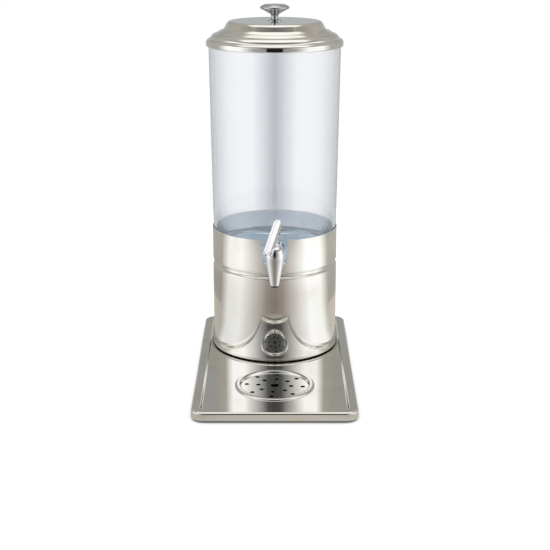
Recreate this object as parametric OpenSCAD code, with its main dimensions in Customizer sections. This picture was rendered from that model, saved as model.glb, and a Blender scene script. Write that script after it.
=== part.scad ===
// Juice dispenser: a clear tank stands in a polished pedestal on a tray, with a lever tap over a drip cup.
// Millimetres, +Z up. The origin is the centre of the tray's footprint on the table. The tap faces -Y.

/* [Tray] */
// Width of the tray across the front
tray_w = 230; // [220:1:280]
// Depth of the tray from front to back
tray_d = 400; // [390:1:480]
// Height of the raised border above the table
border_z = 15.3; // [14:0.1:24]
// Width of the raised border
border_w = 12; // [8:0.5:12.5]
// Depth of the panel below the border
panel_drop = 3; // [2:0.1:4]
// Height of the skirt's lower edge above the table
skirt_gap = 3.5; // [2:0.1:6]
// Corner radius of the tray seen from above
tray_corner_r = 18; // [18:0.5:40]
// Thickness of the tray's sheet
tray_t = 1.2; // [0.8:0.1:1.5]
// Distance of a foot's centre from the tray's edges
foot_inset = 27; // [26:1:40]
// Radius of a foot on the table
foot_r = 11; // [9:0.5:14]

/* [Drip cup] */
// Outer radius of the cup's rolled ring
ring_r = 56.4; // [50:0.1:62]
// Width of the rolled ring
ring_w = 6.8; // [5:0.1:9]
// Distance from the ring to the tray's front edge
ring_front_gap = 49.6; // [30:0.1:60]
// Thickness of the cup's sheet
cup_t = 0.8; // [0.6:0.1:1]
// Thickness of the perforated grid
grid_t = 1; // [0.8:0.1:1.5]
// Radius of the grid's finger hole
finger_hole_r = 6; // [4:0.5:9]
// Radius of a drain hole
drain_hole_r = 3.4; // [2:0.1:4.5]
// Drain holes in each of the two rings
drain_count = 8; // [6:1:10]
// Radius of the inner ring of drain holes
drain_inner_r = 23.7; // [18:0.1:26]
// Radius of the outer ring of drain holes
drain_outer_r = 40.5; // [34:0.1:42]
// Turn of the hole pattern
drain_turn = -6.5; // [-22:0.5:22]

/* [Pedestal] */
// Outer radius of the pedestal
shell_r = 95.2; // [85:0.1:98]
// Height of the pedestal above the tray's panel
shell_h = 190.5; // [170:0.5:230]
// Distance from the pedestal to the tray's back edge
shell_back_gap = 15.8; // [15:0.1:30]
// Thickness of the pedestal's sheet
shell_t = 1; // [0.8:0.1:1.5]
// Distance of the rolled groove below the rim
groove_drop = 54.8; // [52:0.1:70]
// Depth of the rolled groove
groove_depth = 3.5; // [2:0.1:5]
// Width of the notch for the tap
notch_w = 39.4; // [36:0.2:50]
// Depth of the notch below the rim
notch_depth = 42.5; // [38:0.5:44]

/* [Tank] */
// Height of the tank from its underside to its rim
tank_h = 316; // [200:1:400]
// How far the tank's underside sits below the pedestal's rim
tank_drop = 34.8; // [34:0.1:36]
// Thickness of the tank's wall
tank_wall = 4; // [3:0.1:5]
// Thickness of the tank's floor
tank_floor = 4; // [3:0.1:5]
// Draft of the tank's wall in degrees
tank_draft = 0.77; // [0.3:0.01:1]
// Gap between tank and pedestal at the pedestal's rim
tank_gap = 0.4; // [0.3:0.05:1]
// Width of the flat tap seat
seat_w = 70; // [60:1:80]
// Height of the tap seat above the tank's underside
seat_h = 45; // [42:0.5:60]
// Thickness of the wall behind the tap seat
seat_t = 5; // [4:0.1:6]

/* [Lid] */
// Overhang of the lid's rolled rim beyond the tank
lid_overhang = 3.4; // [3:0.1:4]
// Width of the stepped edge round the lid's flat top
lid_edge_w = 30; // [29:0.5:42]
// Thickness of the lid's sheet
lid_t = 1; // [0.7:0.1:1.2]
// Radius of the knob's disc
knob_r = 21.6; // [18:0.1:26]
// Radius of the knob's foot
knob_foot_r = 10; // [9:0.1:14]

/* [Tap] */
// Distance from the pedestal's front to the spout's axis
spout_reach = 60; // [50:1:80]
// Height of the tap hole above the tank's underside
tap_hole_h = 20; // [19:0.1:22]
// Drop from the shank's axis to the spout's tip
spout_drop = 36; // [30:0.5:60]
// Outer radius of the spout's tip
spout_r = 5.75; // [5.5:0.05:6.5]
// Outer radius of the shank
shank_r = 8; // [7:0.1:8.5]
// Radius of the body's collar
collar_r = 13.9; // [12:0.1:14.2]
// Radius of the shank's flange
flange_r = 15; // [13:0.5:17]
// Turn of the lever away from the front
lever_turn = 27; // [0:1:60]
// Lean of the lever from the vertical when the tap is shut
lever_lean = 42; // [38:0.5:46]
// Length of the lever
lever_len = 55; // [48:0.5:70]
// Width of the lever
lever_w = 10.4; // [10.4:0.1:14]
// Depth of the lever's channel section
lever_depth = 8.2; // [8.2:0.1:10]
// Angle that the lever is pulled to open the tap
lever_pull = 11; // [6:0.5:12]
// Radius of the lever's two pins
pin_r = 1.4; // [1.2:0.1:1.5]

/* [Fits] */
// Radial clearance of a shaft that turns or slides in its bore
running = 0.05; // [0.02:0.01:0.1]
// Radial clearance of a pin or thread that stays put
snug = 0.02; // [0.01:0.01:0.05]
// Clearance of parts that drop in or pass through by hand
loose = 0.4; // [0.3:0.05:0.8]

/* [Hidden] */
$fn = 96;
bend_step = 12;

steel = [0.78, 0.77, 0.74];
chrome = [0.86, 0.87, 0.89];
clear = [0.80, 0.86, 0.89, 0.35];
rubber = [0.12, 0.12, 0.13];
silicone = [0.86, 0.86, 0.84];

// Tray: edge and step bends, and the panel that the rest stands on
edge_r = 3.3;
step_r = 2;
step_turn = acos(1 - panel_drop/(2*step_r));
panel_lead = 0.6;
panel_z = border_z - panel_drop;
panel_under = panel_z - tray_t;
panel_corner_r = tray_corner_r - border_w - 2*step_r*sin(step_turn);

// Feet: stand-off, screw and the recess for its head
standoff_r = 4;
standoff_len = 5;
screw_r = 2;
screw_head_r = 3.7;
screw_head_h = 2.2;
foot_taper = 1;
foot_recess = 1.5;
screw_end_gap = 0.6;

// Drip cup: floor near the table, a ledge for the grid and a low crowned ring
cup_y = ring_front_gap + ring_r - tray_d/2;
cup_floor_z = 3;
cup_fillet = 3;
ledge_bend = 1.1;
ledge_w = 4;
grid_seat_r = ring_r - ring_w;
cup_r = grid_seat_r - ledge_w;
grid_recess = 1.7;
ledge_z = panel_z - grid_recess;
ring_bend = 1;
ring_slope = 15;
ring_lip = 0.3;
ring_crown_r = (ring_w/2 - ring_bend*(1 - sin(ring_slope)))/sin(ring_slope);
cup_opening_r = grid_seat_r + cup_t + loose;

// Pedestal: flange, foot bead, groove of two lips and a valley
tower_y = tray_d/2 - shell_back_gap - shell_r;
shell_top = panel_z + shell_h;
shell_flange_w = 17;
bolt_inset = 10.5;
bolt_circle_r = shell_r - bolt_inset;
bead_out = 1;
bead_r = 3.2;
bead_step_r = 2;
bead_turn = acos(1 - bead_out/(2*bead_step_r));
lip_r = 3;
valley_r = 4;
lip_turn = acos(1 - groove_depth/(lip_r + valley_r));
groove_half = (lip_r + valley_r)*sin(lip_turn);
groove_z = shell_top - groove_drop;
notch_centre_z = shell_top - notch_depth + notch_w/2;
nut_af = 7;
nut_h = 3.2;
shell_screw_over = 1.5;

// Platform: an inverted dish whose skirt stands on the groove's bead
tank_z = shell_top - tank_drop;
platform_t = 1;
platform_gap = 0.8;
platform_r = shell_r - shell_t - platform_gap;
platform_bend = 5;
lip_inner_r = lip_r - shell_t;
platform_lap = lip_inner_r - platform_gap;
platform_foot_z = groove_z + groove_half - sqrt(pow(lip_inner_r, 2) - pow(platform_lap, 2)) + running;

// Tank: drafted wall, rounded foot and rim, flat tap seat
tank_top = tank_z + tank_h;
tank_foot_r = 3;
tank_rim_r = 1.5;
tank_fillet = 6;
seat_top_z = tank_z + seat_h;
seat_ledge_t = 4;
tap_hole_r = shank_r + loose;

function tank_radius(z) = shell_r - shell_t - tank_gap + (z - shell_top)*tan(tank_draft);
function bore_radius(z) = tank_radius(z) - tank_wall/cos(tank_draft);

tap_flat = sqrt(pow(tank_radius(seat_top_z), 2) - pow(seat_w/2, 2));

// Lid: bends of the spun profile from the flat top to the rolled rim
lid_r = tank_radius(tank_top) + lid_overhang;
plateau_r = lid_r - lid_edge_w;
crown_r = 6;
crown_turn = 62;
crown_run = 6.7;
cove_r = 9;
ledge_slope = 13;
shoulder_r = 4;
shoulder_slope = 60;
dip_r = 2;
dip_slope = 18;
shelf_run = 5;
rib_r = 8;
rib_slope = 75;
toe_r = 1.5;
rest_slope = 20;
rest_len = 2.3;
lid_bead_r = 5;
lid_band_h = 3.5;
lid_curl_r = 2;
knob_screw_r = 2;
knob_hole_r = knob_screw_r + loose/2;
lid_crown = [[plateau_r - crown_r - knob_hole_r, 0], [crown_r, -crown_turn], [crown_run, 0],
    [cove_r, crown_turn - ledge_slope]];
lid_steps = [[shoulder_r, ledge_slope - shoulder_slope], [dip_r, shoulder_slope - dip_slope],
    [shelf_run, 0], [rib_r, dip_slope - rib_slope], [toe_r, rib_slope - rest_slope]];
lid_bead = [[lid_bead_r, rest_slope - 90], [lid_band_h, 0], [lid_curl_r, -90]];

// Knob: foot, neck, flare, rounded edge, and a brow that rises to the flat crown
knob_foot_h = 0.8;
knob_foot_run = 2.8;
knob_foot_slope = 165;
knob_cove_r = 3;
knob_neck_run = 1;
knob_flare_r = 6;
knob_flare_run = 8;
knob_flare_slope = 30;
knob_dish_r = 20;
knob_slope = 25;
knob_edge_r = 2;
knob_brow_slope = 28;
knob_brow_run = 3.6;
knob_brow_r = 10;
knob_crown_h = 0.4;
knob_bore_depth = 10;
knob_washer_r = 7;
knob_washer_t = 1;

// Tap: heights follow the shank's axis
tap_y = tower_y - shell_r - spout_reach;
tap_z = tank_z + tap_hole_h;
spout_z = tap_z - spout_drop;
bonnet_rise = 10;
bonnet_z = tap_z + bonnet_rise;
valve_drop = 5.5;
valve_z = tap_z - valve_drop;
collar_side = 3;
outlet_r = 4;
chamber_r = 7.2;
shank_bore_r = 4.5;
spigot_r = 9.4;
spigot_len = 5;
bonnet_seal_t = 1;
bonnet_lip = 0.5;
bonnet_r = collar_r + bonnet_lip;
bonnet_side = 5;
dome_r = 11;
dome_turn = 72;
guide_r = 5.5;
guide_rise = 18.5;
guide_top = bonnet_z + guide_rise;
ceiling_rise = 10.5;
ceiling_z = bonnet_z + ceiling_rise;
stem_r = 2.5;
stem_seal_r = 6.4;
stem_seal_t = 1.6;
plug_r = 5.8;
plug_h = 5;
plug_pocket = 3.5;
spring_collar_r = 5.6;
spring_collar_t = 1.5;
spring_collar_gap = 1;
spring_collar_z = valve_z + plug_h + spring_collar_gap;

// Tap: what clamps it to the tank
gasket_r = 13;
gasket_t = 2;
flange_t = 4;
tap_washer_r = 13.4;
tap_washer_t = 1.2;
tap_nut_af = 24;
tap_nut_h = 8;
shank_over = 2;
seat_face_y = tower_y - tap_flat;
seat_back_y = seat_face_y + seat_t;

// Lever: its lower end, its pivot on the bonnet's lug and the stem's pin on the spout's axis
lever_reach = 23;
lever_rise = 6.3;
lever_low = [lever_reach, bonnet_z + lever_rise];
cheek_t = 2;
web_t = 1.3;
pivot_s = 3.5;
lug_r = 2.7;
lug_gap = 0.3;
lug_fall = 1;
slot_play = 0.2;
slot_wall = 1.8;
front_groove_w = 4;
front_groove_t = 0.5;
pivot = lever_low + pivot_s*[-sin(lever_lean), cos(lever_lean)];
stem_pin_z = lever_low[1] + lever_low[0]/tan(lever_lean);
stem_pin_s = lever_low[0]/sin(lever_lean);
arm = [pivot[0], stem_pin_z - pivot[1]];
slot_shift = arm[0]*(1 - cos(lever_pull)) + arm[1]*sin(lever_pull);
stem_lift = arm[0]*sin(lever_pull) - arm[1]*(1 - cos(lever_pull)) + slot_shift*tan(lever_pull);
slot_len = slot_shift/cos(lever_pull) + slot_play;
pin_inset = 0.2;
pin_len = lever_w - 2*pin_inset;

// Spring: turns of wire between the stem's collar and the packing ring
spring_wire_r = 0.5;
spring_r = 4.6;
spring_turns = 6;
spring_rings = 8;
spring_sides = 6;
spring_low = spring_collar_z + spring_collar_t + spring_wire_r;
spring_high = ceiling_z - stem_seal_t - spring_wire_r;
spring_count = spring_turns*spring_rings;

// Skin of a formed sheet, as a walk of straight runs [length, 0] and bends [radius, turn].
// A bend of radius 0 is a sharp corner, and a positive turn goes left.
function walk(p, heading, moves, i = 0) =
    i == len(moves) ? [p] :
    moves[i][0] == 0 ? walk(p, heading + moves[i][1], moves, i + 1) :
    moves[i][1] == 0 ?
        concat([p], walk(p + moves[i][0]*[cos(heading), sin(heading)], heading, moves, i + 1)) :
        bend(p, heading, moves, i);

function bend(p, heading, moves, i) =
    let (r = moves[i][0], turn = moves[i][1], side = sign(turn))
    let (c = p + r*side*[-sin(heading), cos(heading)], a = heading - 90*side, n = ceil(abs(turn)/bend_step))
    concat([for (k = [0:n - 1]) c + r*[cos(a + turn*k/n), sin(a + turn*k/n)]],
        walk(c + r*[cos(a + turn), sin(a + turn)], heading + turn, moves, i + 1));

function last(path) = path[len(path) - 1];
function left_of(a, b) = [a[1] - b[1], b[0] - a[0]]/norm(b - a);

// The skin's other side, t to the left of the walk
function other_side(path, t) = [for (i = [0:len(path) - 1])
    let (before = left_of(path[max(i - 1, 0)], path[max(i, 1)]))
    let (after = left_of(path[min(i, len(path) - 2)], path[min(i + 1, len(path) - 1)]))
    path[i] + t*(before + after)/(1 + before*after)];

module sheet(path, t) {
    back = other_side(path, t);
    polygon(concat(path, [for (i = [len(path) - 1:-1:0]) back[i]]));
}

module along_y(y, r, length) {
    translate([0, y, tap_z]) rotate([-90, 0, 0]) cylinder(r = r, h = length);
}

module ring(z, outer, inner, height) {
    translate([0, 0, z]) difference() {
        cylinder(r = outer, h = height);
        translate([0, 0, -1]) cylinder(r = inner, h = height + 2);
    }
}

module drill(z, r, height) {
    translate([0, 0, z]) cylinder(r = r, h = height);
}

module at_feet() {
    for (x = [-1, 1], y = [-1, 1])
        translate([x*(tray_w/2 - foot_inset), y*(tray_d/2 - foot_inset), 0]) children();
}

module at_shell_bolts() {
    for (a = [45:90:315])
        translate([0, tower_y, 0]) rotate([0, 0, a]) translate([bolt_circle_r, 0, 0]) children();
}

// Tray
border_path = walk([tray_corner_r, skirt_gap], 90, [[border_z - skirt_gap - edge_r, 0], [edge_r, 90],
    [border_w - edge_r, 0], [step_r, step_turn], [step_r, -step_turn], [panel_lead, 0]]);

module border_run(length) {
    rotate([90, 0, 0]) linear_extrude(length, center = true) sheet(border_path, tray_t);
}

module border_corner() {
    rotate_extrude(angle = 90) sheet(border_path, tray_t);
}

module tray_border() {
    side_x = tray_w/2 - tray_corner_r;
    side_y = tray_d/2 - tray_corner_r;
    for (turn = [0, 180]) rotate([0, 0, turn]) {
        translate([side_x, 0, 0]) border_run(2*side_y);
        translate([0, side_y, 0]) rotate([0, 0, 90]) border_run(2*side_x);
        translate([side_x, side_y, 0]) border_corner();
        translate([-side_x, side_y, 0]) rotate([0, 0, 90]) border_corner();
    }
}

module tray_panel() {
    side_x = tray_w - 2*tray_corner_r;
    side_y = tray_d - 2*tray_corner_r;
    translate([0, 0, panel_under]) linear_extrude(tray_t) {
        square([side_x + 2*panel_corner_r, side_y], center = true);
        square([side_x, side_y + 2*panel_corner_r], center = true);
        for (x = [-1, 1], y = [-1, 1]) translate([x*side_x/2, y*side_y/2]) circle(r = panel_corner_r);
    }
}

module base_tray() {
    color(steel) difference() {
        union() {
            tray_border();
            tray_panel();
            at_feet() drill(panel_under - standoff_len, standoff_r, standoff_len + tray_t/2);
        }
        at_feet() drill(panel_under - standoff_len - 1, screw_r + snug, standoff_len + 1);
        at_shell_bolts() drill(panel_under - 1, screw_r + loose, tray_t + 2);
        translate([0, cup_y, 0]) drill(panel_under - 1, cup_opening_r, tray_t + 2);
    }
}

module tray_feet() {
    color(rubber) at_feet() difference() {
        cylinder(r1 = foot_r, r2 = foot_r - foot_taper, h = panel_under);
        drill(-1, screw_head_r + loose, foot_recess + screw_head_h + 1);
        drill(0, screw_r + loose, panel_under);
        drill(panel_under - standoff_len - loose, standoff_r + snug, standoff_len + loose + 1);
    }
}

module foot_screws() {
    color(steel) at_feet() {
        drill(foot_recess, screw_head_r, screw_head_h);
        drill(foot_recess, screw_r, panel_under - screw_end_gap - foot_recess);
    }
}

// Drip cup and grid
cup_path = walk([0, cup_floor_z], 0, [[cup_r - cup_fillet, 0], [cup_fillet, 90],
    [ledge_z - cup_floor_z - cup_fillet - ledge_bend, 0], [ledge_bend, -90], [ledge_w - ledge_bend, 0],
    [0, 90], [grid_recess + ring_lip, 0], [ring_bend, ring_slope - 90], [ring_crown_r, -2*ring_slope],
    [ring_bend, ring_slope - 90], [ring_lip - running, 0]]);

module drip_cup() {
    color(steel) translate([0, cup_y, 0]) rotate_extrude() sheet(cup_path, -cup_t);
}

module drain_ring(r) {
    for (i = [0:drain_count - 1])
        rotate([0, 0, drain_turn + 360*i/drain_count]) translate([r, 0, 0])
            drill(ledge_z - 1, drain_hole_r, grid_t + 2);
}

module drip_grid() {
    color(steel) translate([0, cup_y, 0]) difference() {
        drill(ledge_z, grid_seat_r - loose, grid_t);
        drill(ledge_z - 1, finger_hole_r, grid_t + 2);
        drain_ring(drain_inner_r);
        drain_ring(drain_outer_r);
    }
}

// Pedestal
bead_top_z = panel_z + bead_r + 2*bead_step_r*sin(bead_turn);
shell_path = walk([shell_r - shell_flange_w, panel_z], 0,
    [[shell_flange_w + bead_out - bead_r, 0], [bead_r, 90], [bead_step_r, bead_turn],
    [bead_step_r, -bead_turn], [groove_z - groove_half - bead_top_z, 0],
    [lip_r, lip_turn], [valley_r, -2*lip_turn], [lip_r, lip_turn], [shell_top - groove_z - groove_half, 0]]);

module notch() {
    translate([0, tower_y, notch_centre_z]) rotate([90, 0, 0]) linear_extrude(2*shell_r) {
        circle(r = notch_w/2);
        translate([-notch_w/2, 0]) square([notch_w, notch_depth]);
    }
}

module base_shell() {
    color(steel) difference() {
        translate([0, tower_y, 0]) rotate_extrude() sheet(shell_path, shell_t);
        notch();
        at_shell_bolts() drill(panel_z - 1, screw_r + loose, shell_t + 2);
    }
}

module shell_screws() {
    color(steel) at_shell_bolts() {
        drill(panel_under - screw_head_h, screw_head_r, screw_head_h);
        drill(panel_under - screw_head_h, screw_r,
            screw_head_h + tray_t + shell_t + nut_h + shell_screw_over);
    }
}

module shell_nuts() {
    color(steel) at_shell_bolts() translate([0, 0, panel_z + shell_t]) difference() {
        cylinder(d = nut_af/cos(30), h = nut_h, $fn = 6);
        drill(-1, screw_r + snug, nut_h + 2);
    }
}

platform_path = walk([0, tank_z], 0, [[platform_r - platform_bend, 0], [platform_bend, -90],
    [tank_z - platform_bend - platform_foot_z, 0]]);

module tank_platform() {
    color(steel) translate([0, tower_y, 0]) rotate_extrude() sheet(platform_path, -platform_t);
}

// Tank
module tank_outside() {
    foot_z = tank_z + tank_foot_r*(1 - sin(tank_draft));
    rim_z = tank_top - tank_rim_r*(1 + sin(tank_draft));
    path = walk([0, tank_z], 0, [[tank_radius(foot_z) - tank_foot_r*cos(tank_draft), 0],
        [tank_foot_r, 90 - tank_draft], [(rim_z - foot_z)/cos(tank_draft), 0],
        [tank_rim_r, 90 + tank_draft]]);
    rotate_extrude() polygon(concat(path, [[0, tank_top]]));
}

module tank_bore() {
    floor_z = tank_z + tank_floor;
    foot_z = floor_z + tank_fillet*(1 - sin(tank_draft));
    path = walk([0, floor_z], 0, [[bore_radius(foot_z) - tank_fillet*cos(tank_draft), 0],
        [tank_fillet, 90 - tank_draft], [(tank_top + 1 - foot_z)/cos(tank_draft), 0]]);
    rotate_extrude() polygon(concat(path, [[0, last(path)[1]]]));
}

// Everything in front of a distance from the tank's axis, up to a height
module in_front_of(distance, z) {
    translate([-shell_r, -2*shell_r, 0]) cube([2*shell_r, 2*shell_r - distance, z]);
}

module tank() {
    color(clear) difference() {
        translate([0, tower_y, 0]) difference() {
            tank_outside();
            difference() {
                tank_bore();
                in_front_of(tap_flat - seat_t, seat_top_z + seat_ledge_t);
            }
            in_front_of(tap_flat, seat_top_z);
        }
        along_y(seat_face_y - 1, tap_hole_r, seat_t + 2);
    }
}

// Lid
lid_crown_end = last(walk([knob_hole_r, 0], 0, lid_crown));
lid_rim_moves = concat(lid_steps, [[rest_len, 0], lid_bead[0]]);
lid_rim_reach = last(walk([0, 0], -ledge_slope, lid_rim_moves))[0];
lid_ledge = [(lid_r - lid_crown_end[0] - lid_rim_reach)/cos(ledge_slope), 0];
lid_rest = last(walk([knob_hole_r, 0], 0, concat(lid_crown, [lid_ledge], lid_steps)));
rest_r = tank_radius(tank_top) - tank_rim_r;
rest_rise = (lid_t + tank_rim_r)/cos(rest_slope) - tank_rim_r;
lid_top = tank_top + running + rest_rise - lid_rest[1] + (rest_r - lid_rest[0])*tan(rest_slope);
lid_path = walk([knob_hole_r, lid_top], 0,
    concat(lid_crown, [lid_ledge], lid_steps, [[rest_len, 0]], lid_bead));

module lid() {
    color(steel) translate([0, tower_y, 0]) rotate_extrude() sheet(lid_path, -lid_t);
}

knob_flare = [[knob_foot_run, 0], [knob_cove_r, 90 - knob_foot_slope], [knob_neck_run, 0],
    [knob_flare_r, knob_flare_slope - 90], [knob_flare_run, 0], [knob_dish_r, knob_slope - knob_flare_slope]];
knob_flare_end = last(walk([knob_foot_r, knob_foot_h], knob_foot_slope, knob_flare));
knob_edge_run = (knob_r - knob_edge_r*(1 - sin(knob_slope)) - knob_flare_end[0])/cos(knob_slope);
knob_path = walk([knob_foot_r, knob_foot_h], knob_foot_slope,
    concat(knob_flare, [[knob_edge_run, 0], [knob_edge_r, 180 - knob_brow_slope - knob_slope],
    [knob_brow_run, 0], [knob_brow_r, knob_brow_slope]]));

module lid_knob() {
    color(steel) translate([0, tower_y, lid_top]) difference() {
        rotate_extrude()
            polygon(concat([[0, 0], [knob_foot_r, 0]], knob_path, [[0, last(knob_path)[1] + knob_crown_h]]));
        drill(-1, knob_screw_r + snug, knob_bore_depth + 1);
    }
}

module knob_screw() {
    under = lid_top - lid_t - knob_washer_t;
    color(steel) translate([0, tower_y, 0]) {
        drill(under - screw_head_h, screw_head_r, screw_head_h);
        drill(under - screw_head_h, knob_screw_r, screw_head_h + knob_washer_t + lid_t + knob_bore_depth - 1);
    }
}

module knob_washer() {
    color(steel) translate([0, tower_y, 0])
        ring(lid_top - lid_t - knob_washer_t, knob_washer_r, knob_hole_r, knob_washer_t);
}

// Tap
module tap_body() {
    shank_end = seat_back_y + gasket_t + tap_washer_t + tap_nut_h + shank_over;
    color(chrome) difference() {
        union() {
            translate([0, tap_y, 0]) {
                drill(bonnet_z - collar_side, collar_r, collar_side);
                translate([0, 0, spout_z])
                    cylinder(r1 = spout_r, r2 = collar_r, h = bonnet_z - collar_side - spout_z);
            }
            along_y(tap_y, shank_r, shank_end - tap_y);
            along_y(seat_face_y - gasket_t - flange_t, flange_r, flange_t);
        }
        translate([0, tap_y, 0]) {
            drill(spout_z - 1, outlet_r, valve_z - spout_z + 2);
            drill(valve_z, chamber_r, bonnet_z - valve_z + 1);
            drill(bonnet_z - spigot_len - bonnet_seal_t, spigot_r + running, bonnet_z);
        }
        along_y(tap_y, shank_bore_r, shank_end - tap_y + 1);
    }
}

module shank_ring(y, r, thickness) {
    difference() {
        along_y(y, r, thickness);
        along_y(y - 1, shank_r + running, thickness + 2);
    }
}

module tap_front_gasket() {
    color(rubber) shank_ring(seat_face_y - gasket_t, gasket_r, gasket_t);
}

module tap_back_gasket() {
    color(rubber) shank_ring(seat_back_y, gasket_r, gasket_t);
}

module tap_washer() {
    color(steel) shank_ring(seat_back_y + gasket_t, tap_washer_r, tap_washer_t);
}

module tap_nut() {
    color(steel) difference() {
        translate([0, seat_back_y + gasket_t + tap_washer_t, tap_z]) rotate([-90, 0, 0])
            cylinder(d = tap_nut_af/cos(30), h = tap_nut_h, $fn = 6);
        along_y(seat_back_y, shank_r + running, gasket_t + tap_washer_t + tap_nut_h + 1);
    }
}

// The lever's plane: X is the lever's front, Y runs up
module lever_plane() {
    translate([0, tap_y, 0]) rotate([0, 0, -90 - lever_turn]) rotate([90, 0, 0]) children();
}

module cross_pin(at, r, length) {
    lever_plane() translate([at[0], at[1], 0]) cylinder(r = r, h = length, center = true);
}

lug_w = lever_w - 2*cheek_t - 2*lug_gap;

module lug() {
    lever_plane() linear_extrude(lug_w, center = true) {
        translate(pivot) circle(r = lug_r);
        polygon([[0, pivot[1] - lug_r - lug_fall], pivot - [0, lug_r], pivot + [0, lug_r],
            [0, pivot[1] + lug_r]]);
    }
}

module dome() {
    path = walk([bonnet_r, bonnet_z], 90, [[bonnet_side, 0], [dome_r, dome_turn]]);
    rotate_extrude() polygon(concat([[0, bonnet_z]], path, [[0, last(path)[1]]]));
}

module tap_bonnet() {
    color(chrome) difference() {
        union() {
            translate([0, tap_y, 0]) {
                drill(bonnet_z - spigot_len, spigot_r, spigot_len + 1);
                dome();
                drill(bonnet_z + bonnet_side, guide_r, guide_top - bonnet_z - bonnet_side);
            }
            lug();
        }
        translate([0, tap_y, 0]) {
            drill(bonnet_z - spigot_len - 1, chamber_r, ceiling_z - bonnet_z + spigot_len + 1);
            drill(bonnet_z, stem_r + running, guide_top - bonnet_z + 1);
        }
        cross_pin(pivot, pin_r + running, lever_w);
    }
}

module bonnet_seal() {
    color(silicone) translate([0, tap_y, 0])
        ring(bonnet_z - spigot_len - bonnet_seal_t, spigot_r, chamber_r, bonnet_seal_t);
}

module stem_seal() {
    color(rubber) translate([0, tap_y, 0])
        ring(ceiling_z - stem_seal_t, stem_seal_r, stem_r + running, stem_seal_t);
}

module tap_stem() {
    stem_low = valve_z + plug_h - plug_pocket;
    color(steel) difference() {
        translate([0, tap_y, 0]) {
            drill(stem_low, stem_r, stem_pin_z - stem_low);
            translate([0, 0, stem_pin_z]) sphere(r = stem_r);
            drill(spring_collar_z, spring_collar_r, spring_collar_t);
        }
        cross_pin([0, stem_pin_z], pin_r + snug, lever_w);
    }
}

module seat_plug() {
    color(silicone) translate([0, tap_y, 0]) difference() {
        drill(valve_z, plug_r, plug_h);
        drill(valve_z + plug_h - plug_pocket, stem_r + snug, plug_pocket + 1);
    }
}

// Centre of the spring's wire at one of its rings, and a point on that ring
function spring_centre(i) = [spring_r*cos(360*i/spring_rings), spring_r*sin(360*i/spring_rings),
    spring_low + (spring_high - spring_low)*i/spring_count];
function spring_point(i, k) = let (a = 360*i/spring_rings, b = 360*k/spring_sides)
    spring_centre(i) + spring_wire_r*[cos(b)*cos(a), cos(b)*sin(a), sin(b)];

spring_gap = min([for (i = [0:spring_count - spring_rings])
    norm(spring_centre(i + spring_rings) - spring_centre(i)) - 2*spring_wire_r]);
echo(spring_least_gap = spring_gap, stem_lift = stem_lift, pivot = pivot, stem_pin_z = stem_pin_z);

module tap_spring() {
    points = [for (i = [0:spring_count], k = [0:spring_sides - 1]) spring_point(i, k)];
    sides = [for (i = [0:spring_count - 1], k = [0:spring_sides - 1])
        let (a = i*spring_sides + k, b = i*spring_sides + (k + 1)%spring_sides)
        each [[a, a + spring_sides, b], [b, a + spring_sides, b + spring_sides]]];
    low_end = [for (k = [1:spring_sides - 2]) [0, k, k + 1]];
    top = spring_count*spring_sides;
    high_end = [for (k = [1:spring_sides - 2]) [top, top + k + 1, top + k]];
    color(steel) translate([0, tap_y, 0]) polyhedron(points, concat(sides, low_end, high_end));
}

module stem_pin() {
    color(steel) cross_pin([0, stem_pin_z], pin_r, pin_len);
}

// The lever's own frame: X is its front face, Y runs up the bar from its lower end, Z across it
module lever_frame() {
    lever_plane() translate([lever_low[0], lever_low[1], 0]) rotate([0, 0, lever_lean]) children();
}

module bar_front(width, end_gap) {
    translate([-width/2, -lever_len]) square([width, 2*lever_len - end_gap - width/2]);
    translate([0, lever_len - end_gap - width/2]) circle(r = width/2);
}

// Slot for the stem's pin, level when the tap is shut, which the pin runs along as the lever turns
module slot(r) {
    translate([0, stem_pin_s]) rotate([0, 0, -lever_lean]) {
        circle(r = r);
        translate([-slot_len, 0]) circle(r = r);
        translate([-slot_len, -r]) square([slot_len, 2*r]);
    }
}

module lever_side() {
    translate([0, pivot_s]) circle(r = lever_depth/2);
    translate([-lever_depth/2, pivot_s]) square([lever_depth, lever_len - pivot_s]);
    slot(pin_r + slot_play + slot_wall);
}

module tap_lever() {
    channel_w = lever_w - 2*cheek_t;
    color(chrome) lever_frame() difference() {
        intersection() {
            linear_extrude(lever_w, center = true) lever_side();
            rotate([0, -90, 0]) linear_extrude(3*lever_depth, center = true) bar_front(lever_w, 0);
        }
        translate([lever_depth/2 - web_t, 0, 0]) rotate([0, -90, 0])
            linear_extrude(3*lever_depth) bar_front(channel_w, cheek_t);
        translate([lever_depth/2 + 1, 0, 0]) rotate([0, -90, 0]) linear_extrude(front_groove_t + 1)
            bar_front(front_groove_w, cheek_t);
        linear_extrude(2*lever_w, center = true) slot(pin_r + slot_play);
        translate([0, pivot_s, 0]) cylinder(r = pin_r + snug, h = 2*lever_w, center = true);
    }
}

module lever_pin() {
    color(steel) cross_pin(pivot, pin_r, pin_len);
}

base_tray();
tray_feet();
foot_screws();
drip_cup();
drip_grid();
base_shell();
shell_screws();
shell_nuts();
tank_platform();
tank();
lid();
lid_knob();
knob_screw();
knob_washer();
tap_body();
tap_front_gasket();
tap_back_gasket();
tap_washer();
tap_nut();
tap_bonnet();
bonnet_seal();
stem_seal();
tap_stem();
seat_plug();
tap_spring();
stem_pin();
tap_lever();
lever_pin();
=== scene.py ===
import math

import bmesh
import bpy
from mathutils import Matrix, Vector


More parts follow.
